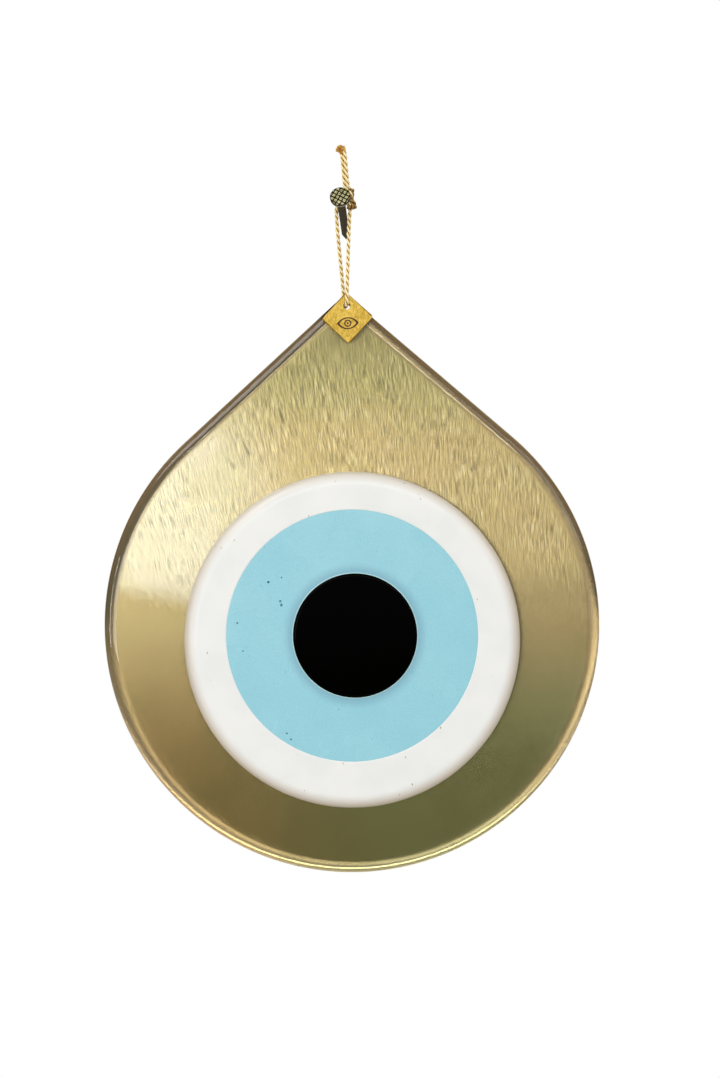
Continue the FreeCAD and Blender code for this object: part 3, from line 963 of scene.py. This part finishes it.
def disc_of(node):
    """Centre x and z, radius, front y and back y of a disc's CAD solid."""
    low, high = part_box(node)
    centre_x, centre_z = (low.x + high.x) / 2, (low.z + high.z) / 2
    return centre_x, centre_z, (high.x - low.x) / 2, low.y, high.y


def make_white_disc():
    """The white ring: a soft shoulder outside and the blue disc's seat inside."""
    x, z, radius, front, back = disc_of("white_disc")
    blue_x, blue_z, blue_radius = disc_of("blue_disc")[:3]
    width, height = WHITE_ROUND
    rings = [
        circle(x, z, radius * END_SHARE, back),
        circle(x, z, radius - WHITE_BACK_ROUND, back),
        circle(x, z, radius, back - WHITE_BACK_ROUND),
    ]
    for inward, upward in quarter(width, height, 16):
        rings.append(circle(x, z, radius - inward, front + height - upward))
    rings.extend(circle(x, z, radius - width - further, front) for further in WHITE_RINGS)
    for outward, down in SEAT_RINGS:
        rings.append(circle(blue_x, blue_z, blue_radius + outward * MM, front + down * MM))
    rings.append(circle(blue_x, blue_z, blue_radius, front + BLUE_DEPTH))
    rings.append(circle(blue_x, blue_z, blue_radius * END_SHARE, front + BLUE_DEPTH))
    disc = skin("white_glass_disc", rings)
    store(disc, "from_edge", lambda p: (radius - math.hypot(p.x - x, p.z - z)) / MM)
    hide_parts("white_disc")
    return disc


# Open bubbles in the blue disc: right and up from its centre, half width, half height and depth,
# in millimetres.
PITS = [
    (-32.9, 22.0, 0.55, 0.45, 0.7),
    (-27.6, 23.7, 0.30, 0.30, 0.5),
    (-28.3, 14.3, 0.60, 0.45, 0.3),
    (-27.9, 12.7, 0.50, 0.75, 0.32),
    (-45.6, 6.0, 0.36, 0.34, 0.5),
    (-43.6, -5.2, 0.30, 0.30, 0.4),
    (-26.8, -38.4, 0.40, 0.34, 0.5),
    (-25.2, -40.8, 0.36, 0.36, 0.5),
    (-29.8, 10.9, 0.16, 0.16, 0.2),
    (-14.6, -38.6, 0.14, 0.14, 0.2),
    (14.2, 34.5, 0.16, 0.16, 0.2),
    (31.5, -24.6, 0.15, 0.15, 0.2),
]
PIT_LATITUDES = 10
PIT_SIDES = 20


def make_pits(centre_x, centre_z, front):
    """The hollows of the open bubbles, as one mesh to cut with."""
    vertices, faces = [], []
    for across, up, wide, tall, deep in PITS:
        first = len(vertices)
        middle = Vector((centre_x + across * MM, front, centre_z + up * MM))
        for i in range(1, PIT_LATITUDES):
            a = math.pi * i / PIT_LATITUDES
            for k in range(PIT_SIDES):
                b = 2 * math.pi * k / PIT_SIDES
                x = wide * math.sin(a) * math.cos(b)
                z = tall * math.sin(a) * math.sin(b)
                y = deep * math.cos(a)
                vertices.append(middle + Vector((x, y, z)) * MM)
        faces.extend(closed_faces(PIT_LATITUDES - 1, PIT_SIDES, first))
    return add_object("pits", vertices, faces)


def make_blue_disc():
    """The blue disc, flush in the white one, with the pupil's seat and open bubbles."""
    x, z, radius, front, back = disc_of("blue_disc")
    pupil_x, pupil_z, pupil_radius = disc_of("black_pupil")[:3]
    edge = radius - BLUE_EDGE
    width, height = BLUE_ROUND
    rings = [circle(x, z, radius * END_SHARE, back), circle(x, z, edge, back)]
    for inward, upward in quarter(width, height, 4):
        rings.append(circle(x, z, edge - inward, front + height - upward))
    for inward in BLUE_OUTER_RINGS:
        rings.append(circle(x, z, radius - inward * MM, front))
    for outward in BLUE_INNER_RINGS:
        rings.append(circle(pupil_x, pupil_z, pupil_radius + outward * MM, front))
    seat = pupil_radius + SEAT_GAP
    rings.append(circle(pupil_x, pupil_z, seat, front + SEAT_BEVEL))
    rings.append(circle(pupil_x, pupil_z, seat, front + PUPIL_DEPTH))
    rings.append(circle(pupil_x, pupil_z, seat * END_SHARE, front + PUPIL_DEPTH))
    disc = skin("blue_glass_disc", rings)
    cut(disc, make_pits(x, z, front))
    for face in disc.data.polygons:
        face.use_smooth = abs(face.normal.y) < FLAT_FACE
    store(
        disc,
        "from_pupil",
        lambda p: (math.hypot(p.x - pupil_x, p.z - pupil_z) - pupil_radius) / MM,
    )
    store(disc, "below_front", lambda p: (p.y - front) / MM)
    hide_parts("blue_disc")
    return disc


def make_pupil():
    """The black disc: a glossy low button with a melted edge."""
    x, z, radius, front, back = disc_of("black_pupil")
    width, height = PUPIL_ROUND
    height -= PUPIL_CROWN
    rings = [circle(x, z, radius * END_SHARE, back), circle(x, z, radius, back)]
    for inward, upward in quarter(width, height, 10):
        y = front + PUPIL_CROWN + height - upward
        rings.append(circle(x, z, radius - inward, y))
    for share in PUPIL_RINGS:
        y = front + PUPIL_CROWN * share * share
        rings.append(circle(x, z, radius * share, y))
    disc = skin("black_glass_disc", rings)
    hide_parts("black_pupil")
    return disc


def make_pupil_lip():
    """The thin raised rim of blue glass that the pupil has pushed up round itself."""
    x, z, radius = disc_of("black_pupil")[:3]
    front = disc_of("blue_disc")[3]
    rings = []
    for i in range(LIP_STEPS + 1):
        a = math.pi * i / LIP_STEPS
        reach = radius + LIP_WIDTH * (1 - math.cos(a)) / 2
        rings.append(circle(x, z, reach, front - LIP_HEIGHT * math.sin(a) + LIP_SUNK))
    vertices = [point for ring in rings for point in ring]
    # One strip more than there are rings closes the last ring onto the first.
    faces = [
        tuple(corner % len(vertices) for corner in face)
        for face in strip_faces(len(rings) + 1, len(rings[0]))
    ]
    lip = add_object("blue_glass_lip", vertices, faces)
    return lip


WHITE_CLOUD = 16 * MM
WHITE_SPECK = 1.3 * MM
WHITE_TONES = (linear(235, 239, 240), (0.35, 0.65, linear(240, 243, 243)))
# Painted shade over the white disc's shoulder.
WHITE_SHOULDER_SHADE = linear(214, 206, 192)
WHITE_FLECK = linear(166, 150, 128)
BLUE_CLOUD = 20 * MM
BLUE_GRAIN = 0.6 * MM
BLUE_SPECK = 1.1 * MM
BLUE_TONES = (linear(145, 207, 224), (0.3, 0.7, linear(159, 217, 232)))
# Painted shade round the pupil and inside the open bubbles.
BLUE_PUPIL_SHADE = linear(128, 178, 200)
BLUE_PIT_SHADE = linear(70, 146, 170)
BLUE_FLECK = linear(78, 150, 170)
DISC_RELIEF = 0.4 * MM
BLACK_WAVE = 14 * MM
BLACK_TONES = ((0.0001, 0.0001, 0.0001, 1), (0.0004, 0.0003, 0.0003, 1))
BLACK_RELIEF = 0.3 * MM
LIP_RIPPLE = 3 * MM
# The lip's pale tones are a painted highlight.
LIP_HIGHLIGHT_TONES = (linear(168, 222, 232), linear(206, 240, 245))
LIP_RELIEF = 0.05 * MM


def white_material():
    """Off-white opaque glass with painted shade over its shoulder, creamy and greyer."""
    material, tree, shader = new_material(
        "white_glass", Specular_IOR_Level=0.4, Coat_Weight=0.25, Coat_Roughness=0.12
    )
    clouds = noise(tree, WHITE_CLOUD, 3.0)
    body = layered(tree, clouds, *WHITE_TONES)
    # Painted shade over the rounded shoulder.
    shoulder = spread(tree, attribute(tree, "from_edge"), 0.0, WHITE_ROUND[0] / MM, 1.0, 0.0)
    shoulder_shaded = blend_colours(tree, shoulder, body, WHITE_SHOULDER_SHADE)
    specks = spread(tree, noise(tree, WHITE_SPECK, 0.0), 0.86, 0.88)
    colour = blend_colours(tree, specks, shoulder_shaded, WHITE_FLECK)
    paint(tree, shader, colour, by_noise(tree, clouds, 0.28, 0.36))
    height = math_node(tree, "SUBTRACT", clouds, times(tree, specks, 0.3))
    bump(tree, shader, height, 0.08, DISC_RELIEF)
    return material


def blue_material():
    """Pale turquoise opaque glass, with painted shade round the raised pupil and inside its open
    bubbles.
    """
    material, tree, shader = new_material(
        "blue_glass", Specular_IOR_Level=0.4, Coat_Weight=0.25, Coat_Roughness=0.1
    )
    clouds = noise(tree, BLUE_CLOUD, 3.0)
    mottle = weighted(tree, clouds, 0.4, noise(tree, BLUE_GRAIN, 2.0))
    body = layered(tree, mottle, *BLUE_TONES)
    # Painted shade round the raised pupil.
    pupil_shade = spread(tree, attribute(tree, "from_pupil"), 0.3, 5.0, 0.75, 0.0)
    pupil_shaded = blend_colours(tree, pupil_shade, body, BLUE_PUPIL_SHADE)
    # Painted shade inside the open bubbles.
    pit_shade = spread(tree, attribute(tree, "below_front"), 0.02, 0.22)
    pit_shaded = blend_colours(tree, pit_shade, pupil_shaded, BLUE_PIT_SHADE)
    specks = times(tree, spread(tree, noise(tree, BLUE_SPECK, 0.0), 0.87, 0.89), 0.5)
    colour = blend_colours(tree, specks, pit_shaded, BLUE_FLECK)
    paint(tree, shader, colour, by_noise(tree, clouds, 0.24, 0.3))
    bump(tree, shader, clouds, 0.08, DISC_RELIEF)
    return material


def black_material():
    """Black polished glass with faint waves."""
    material, tree, shader = new_material("black_glass", Specular_IOR_Level=0.03)
    waves = noise(tree, BLACK_WAVE, 2.0)
    colour = blend_colours(tree, waves, *BLACK_TONES)
    paint(tree, shader, colour, by_noise(tree, waves, 0.05, 0.09))
    bump(tree, shader, waves, 0.1, BLACK_RELIEF)
    return material


def lip_material():
    """The bright melted rim round the pupil: its pale colour is a painted highlight."""
    material, tree, shader = new_material("blue_glass_rim_highlight", Coat_Weight=0.6, Coat_Roughness=0.05)
    ripple = noise(tree, LIP_RIPPLE, 2.0)
    colour = blend_colours(tree, ripple, *LIP_HIGHLIGHT_TONES)
    paint(tree, shader, colour, by_noise(tree, ripple, 0.15, 0.3))
    bump(tree, shader, ripple, 0.2, LIP_RELIEF)
    return material


dress(make_white_disc(), white_material(), "plate")
dress(make_blue_disc(), blue_material(), "plate")
dress(make_pupil(), black_material(), "plate")
dress(make_pupil_lip(), lip_material(), "plate")

# ---------------- tag and nail

TAG_RIM = 0.45 * MM
TAG_CORNER = 1.0 * MM
BRASS_GRAIN = 0.2 * MM
BRASS_MOTTLE = 2.2 * MM
BRASS_TONES = (linear(174, 141, 48), (0.35, 0.65, linear(222, 191, 98)))
# Painted shade round the tag's rim.
BRASS_RIM_SHADE = linear(112, 74, 18)
BRASS_RELIEF = 0.06 * MM
PAINT_MOTTLE = 0.5 * MM
PAINT_TONES = (linear(40, 12, 18), linear(74, 34, 26))
PAINT_RELIEF = 0.05 * MM


def tag_rim_shade(tree):
    """How much painted shade a place gets on the tag's rim; the tag is a square that stands on a
    corner.
    """
    low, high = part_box("brass_tag")
    centre = (low + high) / 2
    half_diagonal = (high.x - low.x) / 2 + TAG_CORNER * (math.sqrt(2) - 1)
    half_side = half_diagonal * math.sqrt(0.5)
    away = vector_node(tree, "SUBTRACT", position(tree), tuple(centre))
    furthest = 0.0
    for sideways in (1, -1):
        across = tuple(Vector((sideways, 0, 1)).normalized())
        along = vector_node(tree, "DOT_PRODUCT", away, across, "Value")
        furthest = math_node(tree, "MAXIMUM", math_node(tree, "ABSOLUTE", along), furthest)
    return spread(tree, furthest, half_side - TAG_RIM, half_side, 0.0, 0.9)


def brass_material():
    """Brushed yellow brass, with painted shade round its edges."""
    material, tree, shader = new_material("tag_brass", Metallic=1.0, Anisotropic=0.4)
    grain = noise(tree, BRASS_GRAIN, 3.0, stretch=(1, 1, 4))
    tone = weighted(tree, grain, 0.7, noise(tree, BRASS_MOTTLE, 2.0))
    face = layered(tree, tone, *BRASS_TONES)
    colour = blend_colours(tree, tag_rim_shade(tree), face, BRASS_RIM_SHADE)
    paint(tree, shader, colour, by_noise(tree, tone, 0.45, 0.34))
    bump(tree, shader, grain, 0.3, BRASS_RELIEF)
    return material


def engraving_material():
    """Dark paint in the engraved lines."""
    material, tree, shader = new_material("engraving", Specular_IOR_Level=0.3)
    mottle = noise(tree, PAINT_MOTTLE, 2.0)
    colour = blend_colours(tree, mottle, *PAINT_TONES)
    paint(tree, shader, colour, by_noise(tree, mottle, 0.45, 0.7))
    bump(tree, shader, mottle, 0.4, PAINT_RELIEF)
    return material


NAIL_SLOPE = math.radians(20.0)
NAIL_LEAN = math.radians(3.3)
NAIL_FACE = 20.0 * MM
NAIL_GROOVE = 0.3 * MM
NAIL_HEAD = 1.9 * MM
NAIL_RUST = 1.2 * MM
NAIL_SCRATCH = 0.25 * MM
NAIL_RELIEF = 0.08 * MM
SHANK_TONES = (linear(30, 24, 6), (0.35, 0.65, linear(74, 62, 26)))
RIM_TONES = (linear(96, 90, 80), (0.4, 0.65, linear(196, 190, 180)))
# The pads' bright tones are painted highlights, and the grooves' black tone is painted shade.
PAD_HIGHLIGHT_TONES = (linear(128, 122, 74), (0.4, 0.7, linear(226, 222, 176)))
NAIL_GROOVE_SHADE = linear(10, 9, 3)


def nail_material():
    """Steel with pads painted bright as highlights, grooves painted black as shade, a grey rim and
    a dark shank.
    """
    material, tree, shader = new_material("nail_steel", Metallic=0.7)
    outward = Vector((0, -math.cos(NAIL_SLOPE), math.sin(NAIL_SLOPE)))
    axis = Matrix.Rotation(-NAIL_LEAN, 3, "Z") @ outward
    along = vector_node(tree, "DOT_PRODUCT", position(tree), tuple(axis), "Value")
    rust = noise(tree, NAIL_RUST, 4.0)
    scratches = noise(tree, NAIL_SCRATCH, 3.0, stretch=(4, 1, 1))
    under = NAIL_FACE - NAIL_HEAD
    floor = NAIL_FACE - NAIL_GROOVE
    # Painted highlights on the pads and painted shade in the grooves, by depth along the nail.
    colour = layered(
        tree,
        along,
        layered(tree, rust, *SHANK_TONES),
        (under - 0.2 * MM, under, layered(tree, scratches, *RIM_TONES)),
        (floor - 0.12 * MM, floor - 0.04 * MM, NAIL_GROOVE_SHADE),
        (floor + 0.12 * MM, NAIL_FACE - 0.04 * MM, layered(tree, scratches, *PAD_HIGHLIGHT_TONES)),
    )
    paint(tree, shader, colour, by_noise(tree, rust, 0.34, 0.55))
    bump(tree, shader, rust, 0.4, NAIL_RELIEF)
    return material


def repaint(node, material):
    """Give a CAD node that stays as it is a better material."""
    obj = NODES[node]
    if not obj.data.materials:
        obj.data.materials.append(material)
    for slot in obj.material_slots:
        slot.material = material


repaint("brass_tag", brass_material())
repaint("tag_mark", engraving_material())
repaint("wall_nail", nail_material())

# ---------------- floor, light and background

FLOOR_HEIGHT = -0.85
FLOOR_DEPTH = (-1.5, 2.3)
FLOOR_HALF_WIDTH = 6.0
FLOOR_MOTTLE = 0.12
FLOOR_TONES = ((0.80, 0.79, 0.77, 1), (0.84, 0.83, 0.81, 1))

# The light round the ornament, and how steeply a direction rises where one tone meets the next;
# "behind" goes by how far it points to the back.
WORLD_TONES = {
    "ground_low": (0.40, 0.30, 0.20, 1),
    "ground_high": (0.18, 0.19, 0.135, 1),
    "sky_low": (0.52, 0.51, 0.50, 1),
    "sky_high": (0.74, 0.73, 0.72, 1),
    "behind": (0.28, 0.20, 0.125, 1),
}
WORLD_BANDS = {
    "ground": (-0.22, -0.10),
    "horizon": (-0.07, -0.015),
    "sky": (0.08, 0.30),
    "behind": (-0.15, 0.35),
}
BACKGROUND = (1, 1, 1, 1)

# Each panel of light: its place, width, height, power and colour.
LIGHTS = {
    "window": ((-0.78, -2.9, -0.10), 0.8, 0.42, 3.9, (1.0, 0.98, 0.94)),
    "upper": ((0, -2.9, 0.60), 1.7, 0.16, 8, (1.0, 0.98, 0.95)),
    "side": ((-1.3, -1.1, -0.05), 0.08, 0.5, 2, (1.0, 0.98, 0.94)),
    "key": ((-1.2, -1.3, 1.5), 1.2, 1.2, 17, (0.99, 0.99, 1.0)),
    "fill": ((1.6, -1.5, 0.9), 1.2, 1.2, 8, (1.0, 0.98, 0.96)),
}
LIGHT_TARGET = (0, -0.01, -0.15)


def make_floor():
    """A pale floor well below the ornament."""
    near, far = FLOOR_DEPTH
    left, right = -FLOOR_HALF_WIDTH, FLOOR_HALF_WIDTH
    corners = [(left, near), (right, near), (right, far), (left, far)]
    vertices = [(x, y, FLOOR_HEIGHT) for x, y in corners]
    floor = add_object("floor", vertices, [(0, 1, 2, 3)], smooth=False)
    material, tree, shader = new_material("pale_floor", Roughness=0.8)
    paint(tree, shader, blend_colours(tree, noise(tree, FLOOR_MOTTLE, 3.0), *FLOOR_TONES))
    floor.data.materials.append(material)


def add_area_light(name, place, width, height, power, colour):
    """A soft panel that the camera doesn't see, turned towards the plate."""
    data = bpy.data.lights.new(name, "AREA")
    data.shape = "RECTANGLE"
    data.size = width
    data.size_y = height
    data.energy = power
    data.color = colour
    light = bpy.data.objects.new(name, data)
    light.location = place
    direction = Vector(LIGHT_TARGET) - Vector(place)
    light.rotation_euler = direction.to_track_quat("-Z", "Y").to_euler()
    light.visible_camera = False
    bpy.context.collection.objects.link(light)


def make_world():
    """Bright above, dim olive and brown below the ornament's height and brown behind it; the
    background itself is plain white."""
    world = bpy.data.worlds.new("studio")
    bpy.context.scene.world = world
    world.use_nodes = True
    tree = world.node_tree
    tree.nodes.clear()
    direction = add_node(tree, "ShaderNodeTexCoord").outputs["Generated"]
    axes = add_node(tree, "ShaderNodeSeparateXYZ", {0: direction})
    y, z = axes.outputs[1], axes.outputs[2]
    tones, bands = WORLD_TONES, WORLD_BANDS
    ground = layered(tree, z, tones["ground_low"], (*bands["ground"], tones["ground_high"]))
    sky = layered(tree, z, tones["sky_low"], (*bands["sky"], tones["sky_high"]))
    front = layered(tree, z, ground, (*bands["horizon"], sky))
    light = layered(tree, y, front, (*bands["behind"], tones["behind"]))
    studio, plain = (
        add_node(tree, "ShaderNodeBackground", {"Color": colour, "Strength": 1.0})
        for colour in (light, BACKGROUND)
    )
    seen = add_node(tree, "ShaderNodeLightPath").outputs["Is Camera Ray"]
    mix = add_node(
        tree, "ShaderNodeMixShader", {0: seen, 1: studio.outputs[0], 2: plain.outputs[0]}
    )
    output = add_node(tree, "ShaderNodeOutputWorld")
    tree.links.new(mix.outputs[0], output.inputs["Surface"])


make_floor()
make_world()
for name, settings in LIGHTS.items():
    add_area_light(name, *settings)
